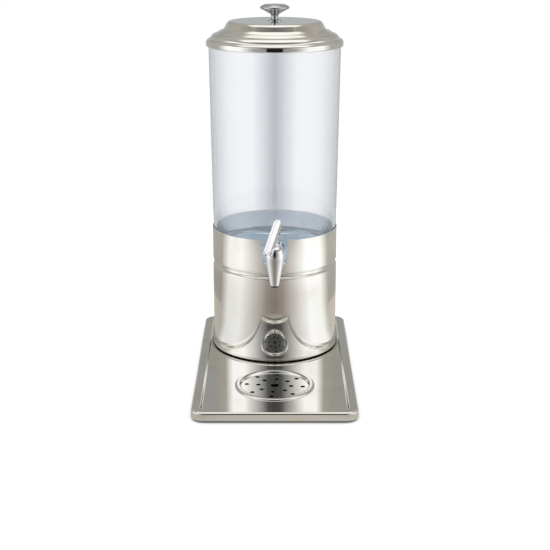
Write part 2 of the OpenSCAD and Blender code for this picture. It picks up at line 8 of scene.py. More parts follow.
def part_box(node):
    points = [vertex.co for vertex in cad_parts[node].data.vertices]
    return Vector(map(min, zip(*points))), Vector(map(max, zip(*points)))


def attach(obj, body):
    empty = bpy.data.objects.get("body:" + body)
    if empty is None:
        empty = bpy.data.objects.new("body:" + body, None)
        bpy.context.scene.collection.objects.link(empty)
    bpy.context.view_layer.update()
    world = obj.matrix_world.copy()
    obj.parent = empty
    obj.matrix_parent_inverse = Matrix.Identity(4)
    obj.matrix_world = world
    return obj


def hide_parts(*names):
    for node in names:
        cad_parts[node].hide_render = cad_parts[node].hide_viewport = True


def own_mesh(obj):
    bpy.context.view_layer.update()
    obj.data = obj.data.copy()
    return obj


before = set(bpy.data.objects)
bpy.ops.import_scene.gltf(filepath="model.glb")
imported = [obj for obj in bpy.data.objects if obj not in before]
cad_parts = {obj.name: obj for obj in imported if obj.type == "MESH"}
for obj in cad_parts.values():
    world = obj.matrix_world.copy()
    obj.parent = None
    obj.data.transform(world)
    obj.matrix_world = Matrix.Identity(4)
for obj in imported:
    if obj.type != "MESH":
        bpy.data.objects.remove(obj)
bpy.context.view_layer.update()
scene = bpy.context.scene
scene.view_settings.view_transform = "Standard"


# Camera: a short telephoto lens a little above the lid, which looks down on the tray.
lens = bpy.data.cameras.new("camera")
lens.sensor_width = 36
lens.lens = 76.99
tilt = 17.293
lens.clip_start = 0.05
camera = bpy.data.objects.new("camera", lens)
camera.location = (0.0004, -1.6635, 0.6665)
camera.rotation_euler = (math.radians(90 - tilt), 0, 0)
scene.collection.objects.link(camera)
scene.camera = camera


# Studio: white paper to the camera. Steel mirrors the room round the object: a dark gap in front, a tall
# softbox on each side, a grey wall behind and a bright ceiling. Clear plastic shows a lit card behind it.
def colour(code):
    """Linear colour of an sRGB hex value."""
    channels = [int(code[i:i + 2], 16) / 255 for i in (1, 3, 5)]
    linear = [c / 12.92 if c <= 0.04045 else ((c + 0.055) / 1.055) ** 2.4 for c in channels]
    return (*linear, 1)


def node(tree, kind, settings=None, **inputs):
    """Adds a node, sets its properties, and sets or links its inputs by name, or by number as _0."""
    made = tree.nodes.new(kind)
    for key, value in (settings or {}).items():
        setattr(made, key, value)
    for key, value in inputs.items():
        socket = made.inputs[int(key[1:])] if key[0] == "_" else made.inputs[key.replace("_", " ")]
        if isinstance(value, bpy.types.NodeSocket):
            tree.links.new(value, socket)
        else:
            socket.default_value = value
    return made


def stops(ramp, *pairs):
    """Sets a colour ramp's stops from pairs of place and sRGB hex value."""
    points = ramp.color_ramp.elements
    while len(points) < len(pairs):
        points.new(1)
    for point, (place, code) in zip(points, pairs):
        point.position = place
        point.color = colour(code)
    return ramp.outputs["Color"]


world = bpy.data.worlds.new("studio")
world.use_nodes = True
scene.world = world
sky = world.node_tree
sky.nodes.clear()


def rise(value, start, end):
    """A smooth step of the world's value from 0 to 1 between two angles in degrees."""
    return node(sky, "ShaderNodeMapRange", {"interpolation_type": "SMOOTHSTEP"}, Value=value,
                From_Min=math.radians(start), From_Max=math.radians(end)).outputs[0]


def blended(share, first, second):
    """One of the world's colours passing into another."""
    return node(sky, "ShaderNodeMix", {"data_type": "RGBA"}, _0=share, _6=first, _7=second).outputs[2]


rays = node(sky, "ShaderNodeLightPath")
heading = node(sky, "ShaderNodeSeparateXYZ", Vector=node(sky, "ShaderNodeTexCoord").outputs["Generated"])
to_front = node(sky, "ShaderNodeMath", {"operation": "MULTIPLY"}, _0=heading.outputs["Y"], _1=-1)
bearing = node(sky, "ShaderNodeMath", {"operation": "ARCTAN2"},
               _0=heading.outputs["X"], _1=to_front.outputs[0])
aside = node(sky, "ShaderNodeMath", {"operation": "ABSOLUTE"}, _0=bearing.outputs[0])
height = node(sky, "ShaderNodeMath", {"operation": "ARCSINE"}, _0=heading.outputs["Z"]).outputs[0]
share = node(sky, "ShaderNodeMath", {"operation": "DIVIDE"}, _0=aside.outputs[0], _1=math.pi).outputs[0]
# Bearings are shares of the half turn from front to back. Heights are in degrees.
GAP_END, WALL_START = 0.07, 0.6
BOX_START, BOX_END = 0.33, 0.48
GAP_TOP, BOX_TOP, CEILING = (9, 16), (25, 33), (50, 62)
CEILING_DROP = 8
low_room = stops(node(sky, "ShaderNodeValToRGB", Fac=share),
                 (0, "#181818"), (GAP_END, "#181818"), (GAP_END + 0.01, "#888884"), (0.2, "#A0A09C"),
                 (BOX_START, "#F4F4F2"), (BOX_END, "#F4F4F2"), (WALL_START, "#A0A09A"), (1, "#A0A4A4"))
middle_room = stops(node(sky, "ShaderNodeValToRGB", Fac=share),
                    (0, "#404040"), (GAP_END, "#505050"), (BOX_START, "#FFFFFF"), (BOX_END, "#FFFFFF"),
                    (WALL_START, "#A8A49C"), (1, "#8C8C88"))
high_room = stops(node(sky, "ShaderNodeValToRGB", Fac=share),
                  (0, "#606060"), (0.5, "#9C9890"), (1, "#A8A4A0"))
room = blended(rise(height, *GAP_TOP), low_room, middle_room)
room = blended(rise(height, *BOX_TOP), room, high_room)
# The ceiling hangs lower over the softboxes.
ceiling_reach = stops(node(sky, "ShaderNodeValToRGB", Fac=share),
                      (0.25, "#000000"), (BOX_START, "#FFFFFF"), (0.44, "#FFFFFF"), (0.52, "#000000"))
over_head = node(sky, "ShaderNodeMath", {"operation": "MULTIPLY_ADD"}, _0=ceiling_reach,
                 _1=math.radians(CEILING_DROP), _2=height).outputs[0]
room = blended(rise(over_head, *CEILING), room, colour("#F7F6F2"))
round_steel = node(sky, "ShaderNodeBackground", Color=room, Strength=1.3)
off_centre = node(sky, "ShaderNodeMath", {"operation": "SUBTRACT"},
                  _0=math.pi, _1=aside.outputs[0]).outputs[0]
CARD = 15
card_share = node(sky, "ShaderNodeMapRange", Value=off_centre, From_Max=math.radians(CARD))
card = stops(node(sky, "ShaderNodeValToRGB", Fac=card_share.outputs[0]),
             (0, "#B8BCC0"), (0.12, "#F4F4F6"), (0.25, "#F0F0F2"), (1, "#C8CCD0"))
round_tank = stops(node(sky, "ShaderNodeValToRGB", Fac=share),
                   (0, "#D4D8DC"), (0.25, "#E4E8EC"), (1, "#C8CCD0"))
round_clear = node(sky, "ShaderNodeBackground", Strength=1.1,
                   Color=blended(rise(off_centre, CARD, 0.9 * CARD), round_tank, card))
level = node(sky, "ShaderNodeMapRange", Value=rays.outputs["Is Camera Ray"], To_Min=0.6, To_Max=1.0)
paper = node(sky, "ShaderNodeBackground", Color=colour("#FFFFFF"), Strength=level.outputs[0])
studio = node(sky, "ShaderNodeMixShader", _0=rays.outputs["Is Glossy Ray"], _1=paper.outputs[0],
              _2=round_steel.outputs[0])
studio = node(sky, "ShaderNodeMixShader", _0=rays.outputs["Is Transmission Ray"], _1=studio.outputs[0],
              _2=round_clear.outputs[0])
node(sky, "ShaderNodeOutputWorld", Surface=studio.outputs[0])


def lamp(name, place, width, tall, watts):
    """A softbox's own light on matt surfaces. Gloss shows the studio's softbox instead."""
    light = bpy.data.lights.new(name, "AREA")
    light.shape = "RECTANGLE"
    light.size, light.size_y = width, tall
    light.energy = watts
    made = bpy.data.objects.new(name, light)
    made.location = place
    aim = Vector((0, 0.05, 0.25))
    made.rotation_euler = (aim - Vector(place)).to_track_quat("-Z", "Y").to_euler()
    made.visible_camera = made.visible_glossy = made.visible_transmission = False
    scene.collection.objects.link(made)


lamp("softbox_left", (-1.35, -0.85, 0.55), 1.0, 1.4, 9)
lamp("softbox_right", (1.35, -0.95, 0.55), 1.0, 1.4, 11)


# Table: a round white top under the object. It shows white to the camera, with a painted shadow close to
# the object, and the steel mirrors it with a painted sheen from the softboxes at the sides and a darker
# painted strip in front.
TABLE_R, TABLE_DROP = 1.0, 0.0002
SHADOW_REACH = 0.06
NEAR, FAR, FADE = (0.31, 0.4), (0.42, 0.64), (0.65, 0.95)
tower_y = sum(corner.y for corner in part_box("base_shell")) / 2
bm = bmesh.new()
bmesh.ops.create_circle(bm, cap_ends=True, segments=96, radius=TABLE_R)
bmesh.ops.translate(bm, verts=bm.verts, vec=(0, 0, -TABLE_DROP))
table_mesh = bpy.data.meshes.new("table_top")
bm.to_mesh(table_mesh)
bm.free()
table = bpy.data.objects.new("table_top", table_mesh)
scene.collection.objects.link(table)
white_laminate = bpy.data.materials.new("white_laminate")
white_laminate.use_nodes = True
tree = white_laminate.node_tree
tree.nodes.clear()
rays = node(tree, "ShaderNodeLightPath")
mirrored = node(tree, "ShaderNodeMath", {"operation": "MAXIMUM"},
                _0=rays.outputs["Is Glossy Ray"], _1=rays.outputs["Is Transmission Ray"])
shown = node(tree, "ShaderNodeMath", {"operation": "MAXIMUM"},
             _0=rays.outputs["Is Camera Ray"], _1=mirrored.outputs[0])
# Painted shadow: the table darkens where the object is close, by ambient occlusion.
closeness = node(tree, "ShaderNodeAmbientOcclusion", {"samples": 16}, Distance=SHADOW_REACH)
shade = node(tree, "ShaderNodeMapRange", Value=closeness.outputs["AO"], From_Min=0.1, From_Max=0.72,
             To_Min=0.08, To_Max=1.0)
from_tower = node(tree, "ShaderNodeMapping", Vector=node(tree, "ShaderNodeTexCoord").outputs["Object"],
                  Location=(0, -tower_y, 0))
place = node(tree, "ShaderNodeSeparateXYZ", Vector=from_tower.outputs[0])
distance = node(tree, "ShaderNodeVectorMath", {"operation": "LENGTH"}, _0=from_tower.outputs[0])
to_front = node(tree, "ShaderNodeMath", {"operation": "MULTIPLY"}, _0=place.outputs["Y"], _1=-1)
bearing = node(tree, "ShaderNodeMath", {"operation": "ARCTAN2"},
               _0=place.outputs["X"], _1=to_front.outputs[0])
aside = node(tree, "ShaderNodeMath", {"operation": "ABSOLUTE"}, _0=bearing.outputs[0])
share = node(tree, "ShaderNodeMath", {"operation": "DIVIDE"}, _0=aside.outputs[0], _1=math.pi)
# Painted reflection of the studio: the softboxes' sheen at the sides, a darker strip in front, and a
# lighter tone close in front of the tray.
sheen = stops(node(tree, "ShaderNodeValToRGB", Fac=share.outputs[0]),
              (0, "#888078"), (GAP_END, "#989088"), (0.2, "#D4D0CC"), (BOX_START, "#FFFFFF"),
              (BOX_END, "#F8F8F4"), (WALL_START, "#A8A49C"), (1, "#A4A4A0"))
near_by = node(tree, "ShaderNodeMapRange", {"interpolation_type": "SMOOTHSTEP"},
               Value=distance.outputs["Value"], From_Min=NEAR[0], From_Max=NEAR[1])
near_tone = node(tree, "ShaderNodeMix", {"data_type": "RGBA"}, _0=near_by.outputs[0],
                 _6=colour("#C4BDB3"), _7=colour("#000000"))
tone = node(tree, "ShaderNodeMix", {"data_type": "RGBA", "blend_type": "LIGHTEN"}, _0=1.0,
            _6=sheen, _7=near_tone.outputs[2])
# Seen through the clear plastic, the table's painted tone is pale blue.
tone = node(tree, "ShaderNodeMix", {"data_type": "RGBA"}, _0=rays.outputs["Is Transmission Ray"],
            _6=tone.outputs[2], _7=colour("#B4C0C8"))
tone = node(tree, "ShaderNodeMix", {"data_type": "RGBA"}, _0=mirrored.outputs[0],
            _6=colour("#FFFFFF"), _7=tone.outputs[2])
# Painted light: the mirrored tone grows brighter to the right and farther from the object.
rightwards = node(tree, "ShaderNodeMath", {"operation": "DIVIDE"},
                  _0=place.outputs["X"], _1=distance.outputs["Value"])
side_gain = node(tree, "ShaderNodeMath", {"operation": "MULTIPLY"}, _0=rightwards.outputs[0],
                 _1=mirrored.outputs[0])
far_gain = node(tree, "ShaderNodeMapRange", {"interpolation_type": "SMOOTHSTEP"},
                Value=distance.outputs["Value"], From_Min=FAR[0], From_Max=FAR[1],
                To_Min=1.05, To_Max=1.25)
side_gain = node(tree, "ShaderNodeMath", {"operation": "MULTIPLY_ADD"}, _0=side_gain.outputs[0],
                 _1=0.1, _2=far_gain.outputs[0])
strength = node(tree, "ShaderNodeMath", {"operation": "MULTIPLY"}, _0=shade.outputs[0],
                _1=side_gain.outputs[0])
lit = node(tree, "ShaderNodeEmission", Color=tone.outputs[2], Strength=strength.outputs[0])
plain = node(tree, "ShaderNodeBsdfDiffuse", Color=colour("#E8E8E6"))
mixed = node(tree, "ShaderNodeMixShader", _0=shown.outputs[0], _1=plain.outputs[0], _2=lit.outputs[0])
faded = node(tree, "ShaderNodeMapRange", {"interpolation_type": "SMOOTHSTEP"},
             Value=distance.outputs["Value"], From_Min=FADE[0], From_Max=FADE[1])
open_edge = node(tree, "ShaderNodeMath", {"operation": "MULTIPLY"},
                 _0=faded.outputs[0], _1=mirrored.outputs[0])
mixed = node(tree, "ShaderNodeMixShader", _0=open_edge.outputs[0], _1=mixed.outputs[0],
             _2=node(tree, "ShaderNodeBsdfTransparent").outputs[0])
node(tree, "ShaderNodeOutputMaterial", Surface=mixed.outputs[0])
table_mesh.materials.append(white_laminate)


# Tray: one stainless steel sheet, pressed to a raised border with a folded skirt and polished to a mirror.
# The polishing wheel leaves faint lines, and hands leave smudges that dull the gloss in soft patches.
MM = 0.001
BEND_STEP = 6


def outline(bm, start, heading, moves):
    """Draws a profile in the X-Z plane in mm: straight runs (length, 0) and bends (radius, turn)."""
    tip = bm.verts.new((start[0], 0, start[1]))
    for size, turn in moves:
        along = Vector((math.cos(math.radians(heading)), 0, math.sin(math.radians(heading))))
        if turn == 0:
            tip = bmesh.ops.extrude_vert_indiv(bm, verts=[tip])["verts"][0]
            tip.co += along * size
        elif size > 0:
            left = Vector((-along.z, 0, along.x))
            swept = bmesh.ops.spin(bm, geom=[tip], cent=tip.co + left * math.copysign(size, turn),
                                   axis=(0, -1, 0), angle=math.radians(turn),
                                   steps=math.ceil(abs(turn) / BEND_STEP))
            tip = next(v for v in swept["geom_last"] if isinstance(v, bmesh.types.BMVert))
        heading += turn
    return tip


def close_up(bm):
    """Merges seams and poles, and turns the faces outwards."""
    bmesh.ops.remove_doubles(bm, verts=bm.verts, dist=0.001)
    bmesh.ops.recalc_face_normals(bm, faces=bm.faces)


def shape(bm, name, centre=(0, 0, 0)):
    """Makes a bmesh in mm an object in metres, moved to a centre in mm."""
    bmesh.ops.translate(bm, verts=bm.verts, vec=centre)
    bmesh.ops.scale(bm, verts=bm.verts, vec=(MM, MM, MM))
    mesh = bpy.data.meshes.new(name)
    bm.to_mesh(mesh)
    bm.free()
    made = bpy.data.objects.new(name, mesh)
    scene.collection.objects.link(made)
    return made


def wall(made, thickness, side=-1):
    """Gives a skin its sheet's thickness in mm, on its inner side unless side is 1."""
    sheet = made.modifiers.new("sheet", "SOLIDIFY")
    sheet.thickness = thickness * MM
    sheet.offset = side
    sheet.use_even_offset = True


def cut(made, cutter, operation="DIFFERENCE"):
    """Cuts a shape by another, or joins it on."""
    tool = made.modifiers.new("cut", "BOOLEAN")
    tool.operation = operation
    tool.solver = "EXACT"
    tool.object = cutter
    settle(made)
    bpy.data.objects.remove(cutter)


def settle(made):
    """Applies the modifiers to the mesh."""
    bpy.context.view_layer.update()
    done = made.evaluated_get(bpy.context.evaluated_depsgraph_get())
    mesh = bpy.data.meshes.new_from_object(done)
    made.modifiers.clear()
    made.data = mesh


def soften(made, radius, segments=2):
    """Breaks the sharp edges by a radius in mm."""
    edge = made.modifiers.new("edge", "BEVEL")
    edge.width = radius * MM
    edge.segments = segments
    edge.limit_method = "ANGLE"
    edge.angle_limit = math.radians(40)
    settle(made)


def fit(made, body, slot, finish, *nodes):
    """Gives a finished piece its material, its body and the nodes that it stands for."""
    settle(made)
    made.data.materials.clear()
    made.data.materials.append(finish)
    made.data.shade_smooth()
    made.data.set_sharp_from_angle(angle=math.radians(32))
    even = made.modifiers.new("even", "WEIGHTED_NORMAL")
    even.keep_sharp = True
    settle(made)
    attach(made, body)
    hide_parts(*nodes)


def dress(name, finish):
    """Gives a CAD node its material."""
    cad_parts[name].data.materials.clear()
    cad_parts[name].data.materials.append(finish)


def in_mm(name):
    """A CAD node's lowest and highest corner in mm."""
    return [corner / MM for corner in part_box(name)]


def metal(name, code, dull_code, gloss, dull, line_mm, line_depth):
    """A polished metal: a clean and a smudged tone, two roughnesses, and polishing lines along one axis."""
    smudge_mm = 45
    made = bpy.data.materials.new(name)
    made.use_nodes = True
    tree = made.node_tree
    shader = tree.nodes["Principled BSDF"]
    shader.inputs["Metallic"].default_value = 1
    spot = node(tree, "ShaderNodeTexCoord").outputs["Object"]
    smudge = node(tree, "ShaderNodeTexNoise", Vector=spot, Scale=1 / (smudge_mm * MM), Detail=3,
                  Roughness=0.55)
    patch = node(tree, "ShaderNodeMapRange", {"interpolation_type": "SMOOTHSTEP"},
                 Value=smudge.outputs["Fac"], From_Min=0.42, From_Max=0.75)
    tone = node(tree, "ShaderNodeMix", {"data_type": "RGBA"}, _0=patch.outputs[0],
                _6=colour(code), _7=colour(dull_code))
    rough = node(tree, "ShaderNodeMapRange", Value=patch.outputs[0], To_Min=gloss, To_Max=dull)
    stretch = [1 / (size * MM) for size in line_mm]
    grain = node(tree, "ShaderNodeTexNoise", Detail=2,
                 Vector=node(tree, "ShaderNodeMapping", Vector=spot, Scale=stretch).outputs[0], Scale=1)
    lines = node(tree, "ShaderNodeBump", Height=grain.outputs["Fac"], Strength=0.5,
                 Distance=line_depth * MM)
    tree.links.new(tone.outputs[2], shader.inputs["Base Color"])
    tree.links.new(rough.outputs[0], shader.inputs["Roughness"])
    tree.links.new(lines.outputs[0], shader.inputs["Normal"])
    return made


# Polishing lines are about 0.1 mm apart on the real sheet. They are drawn 3 mm apart so that they show.
pressed_steel = metal("polished_pressed_steel", "#ECEBE8", "#E3E1DC", 0.045, 0.09, (3, 120, 120), 0.01)


def painted_corner_shade(finish, centre, axes, near, far, code):
    """Darkens a finish with painted shade, from near to far in mm, measured from a centre in mm along the
    axes marked 1.
    """
    tree = finish.node_tree
    shader = tree.nodes["Principled BSDF"]
    spot = node(tree, "ShaderNodeMapping", Vector=node(tree, "ShaderNodeTexCoord").outputs["Object"],
                Location=[-at * MM * axis for at, axis in zip(centre, axes)], Scale=axes)
    reach = node(tree, "ShaderNodeVectorMath", {"operation": "LENGTH"}, _0=spot.outputs[0])
    amount = node(tree, "ShaderNodeMapRange", {"interpolation_type": "SMOOTHSTEP"},
                  Value=reach.outputs["Value"], From_Min=near * MM, From_Max=far * MM, To_Min=1, To_Max=0)
    unshaded = shader.inputs["Base Color"].links[0].from_socket
    shaded = node(tree, "ShaderNodeMix", {"data_type": "RGBA"}, _0=amount.outputs[0], _6=unshaded,
                   _7=colour(code))
    tree.links.new(shaded.outputs[2], shader.inputs["Base Color"])


# The sheet round the pedestal's foot is darkened to brown: painted shade where the foot stands on it, and a
# painted dark reflection of the foot. A brown tone shows on the sheet round the pedestal's foot, from a
# cause that isn't known. It is drawn in the finish's colour.
shell_r = 95.2
painted_corner_shade(pressed_steel, (0, tower_y / MM, 0), (1, 1, 0), shell_r + 1, shell_r + 6, "#8A7D70")

tray_high = in_mm("base_tray")[1]
tray_t, border_w, edge_r, step_r, corner_r = 1.2, 12, 3.3, 2, 18
panel_drop, panel_run = 3, 0.6
step_turn = math.degrees(math.acos(1 - panel_drop / (2 * step_r)))
border_z, skirt_z = tray_high.z, 3.5
panel_z = border_z - panel_drop
bm = bmesh.new()
outline(bm, (tray_high.x, skirt_z), 90,
        [(border_z - skirt_z - edge_r, 0), (edge_r, 90), (border_w - edge_r, 0),
         (step_r, step_turn), (step_r, -step_turn), (panel_run, 0)])
side = Vector((tray_high.x - corner_r, tray_high.y - corner_r, 0))
bmesh.ops.translate(bm, verts=bm.verts, vec=(0, -side.y, 0))
section = bm.verts[:] + bm.edges[:]
for turn, centre in enumerate([(1, 1), (-1, 1), (-1, -1), (1, -1)]):
    straight = 2 * (side.x if turn % 2 else side.y)
    along = Matrix.Rotation(turn * math.pi / 2, 3, "Z") @ Vector((0, straight, 0))
    section = bmesh.ops.spin(bm, geom=section, dvec=along, axis=(0, 0, 1), angle=0, steps=1)["geom_last"]
    section = bmesh.ops.spin(bm, geom=section, cent=(centre[0] * side.x, centre[1] * side.y, 0),
                             axis=(0, 0, 1), angle=math.pi / 2, steps=16)["geom_last"]
close_up(bm)
inner_edge = [e for e in bm.edges if e.is_boundary and min(v.co.z for v in e.verts) > skirt_z + 1]
bmesh.ops.edgeloop_fill(bm, edges=inner_edge)
bmesh.ops.recalc_face_normals(bm, faces=bm.faces)
tray = shape(bm, "tray_sheet")
wall(tray, tray_t)

cup_low, cup_high = in_mm("drip_cup")
cup_y = (cup_low.y + cup_high.y) / 2
ring_r = (cup_high.x - cup_low.x) / 2
ring_w, cup_t, loose = 6.8, 0.8, 0.4
grid_seat_r = ring_r - ring_w
bm = bmesh.new()
bmesh.ops.create_cone(bm, cap_ends=True, segments=128, radius1=grid_seat_r + cup_t + loose,
                      radius2=grid_seat_r + cup_t + loose, depth=10)
settle(tray)
cut(tray, shape(bm, "opening", (0, cup_y, panel_z)))
standoff_r, standoff_len, foot_inset = 4, 5, 27
bm = bmesh.new()
for x in (-1, 1):
    for y in (-1, 1):
        bmesh.ops.create_cone(bm, cap_ends=True, segments=32, radius1=standoff_r, radius2=standoff_r,
                              depth=standoff_len, matrix=Matrix.Translation((
                                  x * (tray_high.x - foot_inset), y * (tray_high.y - foot_inset),
                                  panel_z - tray_t - standoff_len / 2)))
cut(tray, shape(bm, "standoffs"), "UNION")
soften(tray, 0.25)
fit(tray, "base", "polished_steel", pressed_steel, "base_tray")


# Feet: four round buttons of black rubber under the tray's corners, each held by a plated screw in its
# recess. Rubber is matt with a fine moulded grain and a grey bloom.
def matt(name, code, bloom_code, grain_mm):
    """A matt moulding: a base tone with bloom, and a fine grain."""
    bloom_mm = 8
    made = bpy.data.materials.new(name)
    made.use_nodes = True
    tree = made.node_tree
    shader = tree.nodes["Principled BSDF"]
    shader.inputs["IOR"].default_value = 1.52
    spot = node(tree, "ShaderNodeTexCoord").outputs["Object"]
    bloom = node(tree, "ShaderNodeTexNoise", Vector=spot, Scale=1 / (bloom_mm * MM), Detail=4)
    tone = node(tree, "ShaderNodeMix", {"data_type": "RGBA"}, _0=bloom.outputs["Fac"],
                _6=colour(code), _7=colour(bloom_code))
    rough = node(tree, "ShaderNodeMapRange", Value=bloom.outputs["Fac"], To_Min=0.55, To_Max=0.85)
    grain = node(tree, "ShaderNodeTexNoise", Vector=spot, Scale=1 / (grain_mm * MM), Detail=2)
    bumps = node(tree, "ShaderNodeBump", Height=grain.outputs["Fac"], Strength=0.4, Distance=0.1 * MM)
    tree.links.new(tone.outputs[2], shader.inputs["Base Color"])
    tree.links.new(rough.outputs[0], shader.inputs["Roughness"])
    tree.links.new(bumps.outputs[0], shader.inputs["Normal"])
    return made


foot_rubber = matt("moulded_black_rubber", "#1B1B1D", "#2C2C2E", 0.6)
dress("tray_feet", foot_rubber)
# Turning leaves fine rings on the screws, which blur their gloss.
fastener_steel = metal("turned_fastener_steel", "#B9B9B6", "#A5A4A0", 0.22, 0.36, (4, 4, 0.6), 0.01)
dress("foot_screws", fastener_steel)


# Drip cup and grid: a spun steel cup with a rolled ring that hangs in the tray's opening, and a loose
# disc, punched with a finger hole and two rings of drain holes, on its ledge.
def lathe(bm, steps=192):
    """Turns a drawn profile round the Z axis."""
    bmesh.ops.spin(bm, geom=bm.verts[:] + bm.edges[:], axis=(0, 0, 1), angle=2 * math.pi, steps=steps,
                   use_merge=True)
    close_up(bm)


grid_low, grid_high = in_mm("drip_grid")
cup_floor_z, cup_fillet, ledge_bend, ledge_w, seat_bend = cup_low.z + cup_t, 3, 1.1, 4, 0.5
grid_recess, ring_bend, ring_slope, ring_lip = panel_z - grid_low.z, 1, 15, 0.3
rise_share = math.sin(math.radians(ring_slope))
ring_crown_r = (ring_w / 2 - ring_bend * (1 - rise_share)) / rise_share
cup_r = grid_seat_r - ledge_w
bm = bmesh.new()
outline(bm, (0, cup_floor_z), 0,
        [(cup_r - cup_fillet, 0), (cup_fillet, 90),
         (grid_low.z - cup_floor_z - cup_fillet - ledge_bend, 0), (ledge_bend, -90),
         (ledge_w - ledge_bend - seat_bend, 0), (seat_bend, 90), (grid_recess + ring_lip - seat_bend, 0),
         (ring_bend, ring_slope - 90), (ring_crown_r, -2 * ring_slope),
         (ring_bend, ring_slope - 90), (ring_lip, 0)])
lathe(bm)
cup = shape(bm, "cup_spun", (0, cup_y, 0))
wall(cup, cup_t, 1)
soften(cup, 0.2)
# Spinning leaves rings on the cup. Below the grid its inside is darkened, which stands in for the shade
# that the drain holes show.
cup_steel = metal("polished_cup_steel", "#ECEBE8", "#E3E1DC", 0.045, 0.09, (120, 120, 3), 0.012)
painted_corner_shade(cup_steel, (0, 0, 0), (0, 0, 1), grid_low.z - 1, grid_low.z, "#2B2926")
fit(cup, "drip_cup", "polished_steel", cup_steel, "drip_cup")

finger_hole_r, drain_hole_r, drain_count, drain_turn = 6, 3.4, 8, -6.5
drain_rings = (23.7, 40.5)
grid_r = (grid_high.x - grid_low.x) / 2
bm = bmesh.new()
bmesh.ops.create_cone(bm, cap_ends=True, segments=160, radius1=grid_r, radius2=grid_r,
                      depth=grid_high.z - grid_low.z)
grid = shape(bm, "grid_disc", (0, cup_y, (grid_low.z + grid_high.z) / 2))
bm = bmesh.new()
holes = [(0, 0, finger_hole_r)]
for ring in drain_rings:
    for i in range(drain_count):
        angle = math.radians(drain_turn + 360 * i / drain_count)
        holes.append((ring * math.cos(angle), ring * math.sin(angle), drain_hole_r))
for x, y, r in holes:
    bmesh.ops.create_cone(bm, cap_ends=True, segments=40, radius1=r, radius2=r, depth=6,
                          matrix=Matrix.Translation((x, y, 0)))
cut(grid, shape(bm, "punch", (0, cup_y, grid_low.z)))
soften(grid, 0.25, 3)
fit(grid, "drip_grid", "polished_steel", pressed_steel, "drip_grid")


# Pedestal: a spun steel tube with a flange and a bead at its foot, a rolled groove round its middle, and
# a notch cut for the tap. Four screws and nuts hold the flange to the tray.
shell_high = in_mm("base_shell")[1]
shell_t = 1
tower = (0, tower_y / MM, 0)
bead_out, bead_r, bead_step_r = 1, 3.2, 2
bead_turn = math.degrees(math.acos(1 - bead_out / (2 * bead_step_r)))
flange_w, groove_drop, groove_depth, lip_r, valley_r = 17, 54.8, 3.5, 3, 4
groove_z = shell_high.z - groove_drop
lip_turn = math.degrees(math.acos(1 - groove_depth / (lip_r + valley_r)))
groove_half = (lip_r + valley_r) * math.sin(math.radians(lip_turn))
bead_top_z = panel_z + bead_r + 2 * bead_step_r * math.sin(math.radians(bead_turn))
bm = bmesh.new()
outline(bm, (shell_r - flange_w, panel_z), 0,
        [(flange_w + bead_out - bead_r, 0), (bead_r, 90), (bead_step_r, bead_turn),
         (bead_step_r, -bead_turn), (groove_z - groove_half - bead_top_z, 0), (lip_r, lip_turn),
         (valley_r, -2 * lip_turn), (lip_r, lip_turn), (shell_high.z - groove_z - groove_half, 0)])
lathe(bm)
shell = shape(bm, "shell_spun", tower)
wall(shell, shell_t)
settle(shell)
notch_w, notch_depth, notch_over, notch_reach = 39.4, 42.5, 40, 120
notch_z = shell_high.z - notch_depth + notch_w / 2
bm = bmesh.new()
bmesh.ops.create_circle(bm, segments=64, radius=notch_w / 2)
bmesh.ops.translate(bm, verts=[v for v in bm.verts if v.co.y > 0.01], vec=(0, notch_over, 0))
bmesh.ops.edgeloop_fill(bm, edges=bm.edges)
grown = bmesh.ops.extrude_face_region(bm, geom=bm.faces)["geom"]
bmesh.ops.translate(bm, verts=[v for v in grown if isinstance(v, bmesh.types.BMVert)],
                    vec=(0, 0, notch_reach))
bmesh.ops.rotate(bm, verts=bm.verts, matrix=Matrix.Rotation(math.pi / 2, 3, "X"))
close_up(bm)
cut(shell, shape(bm, "notch", (0, tower[1], notch_z)))
soften(shell, 0.25)
# The polishing lines run round the tube. Its foot is darkened to brown as well: painted shade where it
# meets the tray.
tube_steel = metal("polished_tube_steel", "#ECEBE8", "#E4E2DD", 0.045, 0.09, (120, 120, 3), 0.012)
painted_corner_shade(tube_steel, (0, 0, 0), (0, 0, 1), panel_z + 0.8, panel_z + 3, "#5C5045")
fit(shell, "base", "polished_steel", tube_steel, "base_shell")
# The inside is taken to be left as it was spun, duller than the outside. Its normals lean upwards, which
# the real wall's don't: that stands in for the pale tone that the real one shows there.
inner_steel = metal("spun_unpolished_steel", "#E4EAEF", "#D9DFE4", 0.2, 0.3, (120, 120, 3), 0.01)
INNER_LEAN = 20
tree = inner_steel.node_tree
leaned = node(tree, "ShaderNodeVectorMath", _0=node(tree, "ShaderNodeNewGeometry").outputs["Normal"],
              _1=(0, 0, math.tan(math.radians(INNER_LEAN))))
leaned = node(tree, "ShaderNodeVectorMath", {"operation": "NORMALIZE"}, _0=leaned.outputs[0])
tree.links.new(leaned.outputs[0], tree.nodes["Principled BSDF"].inputs["Normal"])
shell.data.materials.append(inner_steel)
for face in shell.data.polygons:
    if face.normal.dot(face.center - Vector((0, tower_y, face.center.z))) < -0.01:
        face.material_index = 1
dress("shell_screws", fastener_steel)
dress("shell_nuts", fastener_steel)


# Platform: an inverted dish of brushed steel sheet inside the pedestal that carries the tank. In the scene
# it comes out too dark, for a cause that wasn't found, so a faint emission, a painted glow, stands in for
# its pale tone.
platform_low, platform_high = in_mm("tank_platform")
platform_r, platform_t, platform_bend = (platform_high.x - platform_low.x) / 2, 1, 5
glowing_brushed_steel = metal("brushed_sheet_steel_painted_glow", "#C4DAE6", "#BAD0DC", 0.2, 0.3, (120, 2, 2), 0.01)
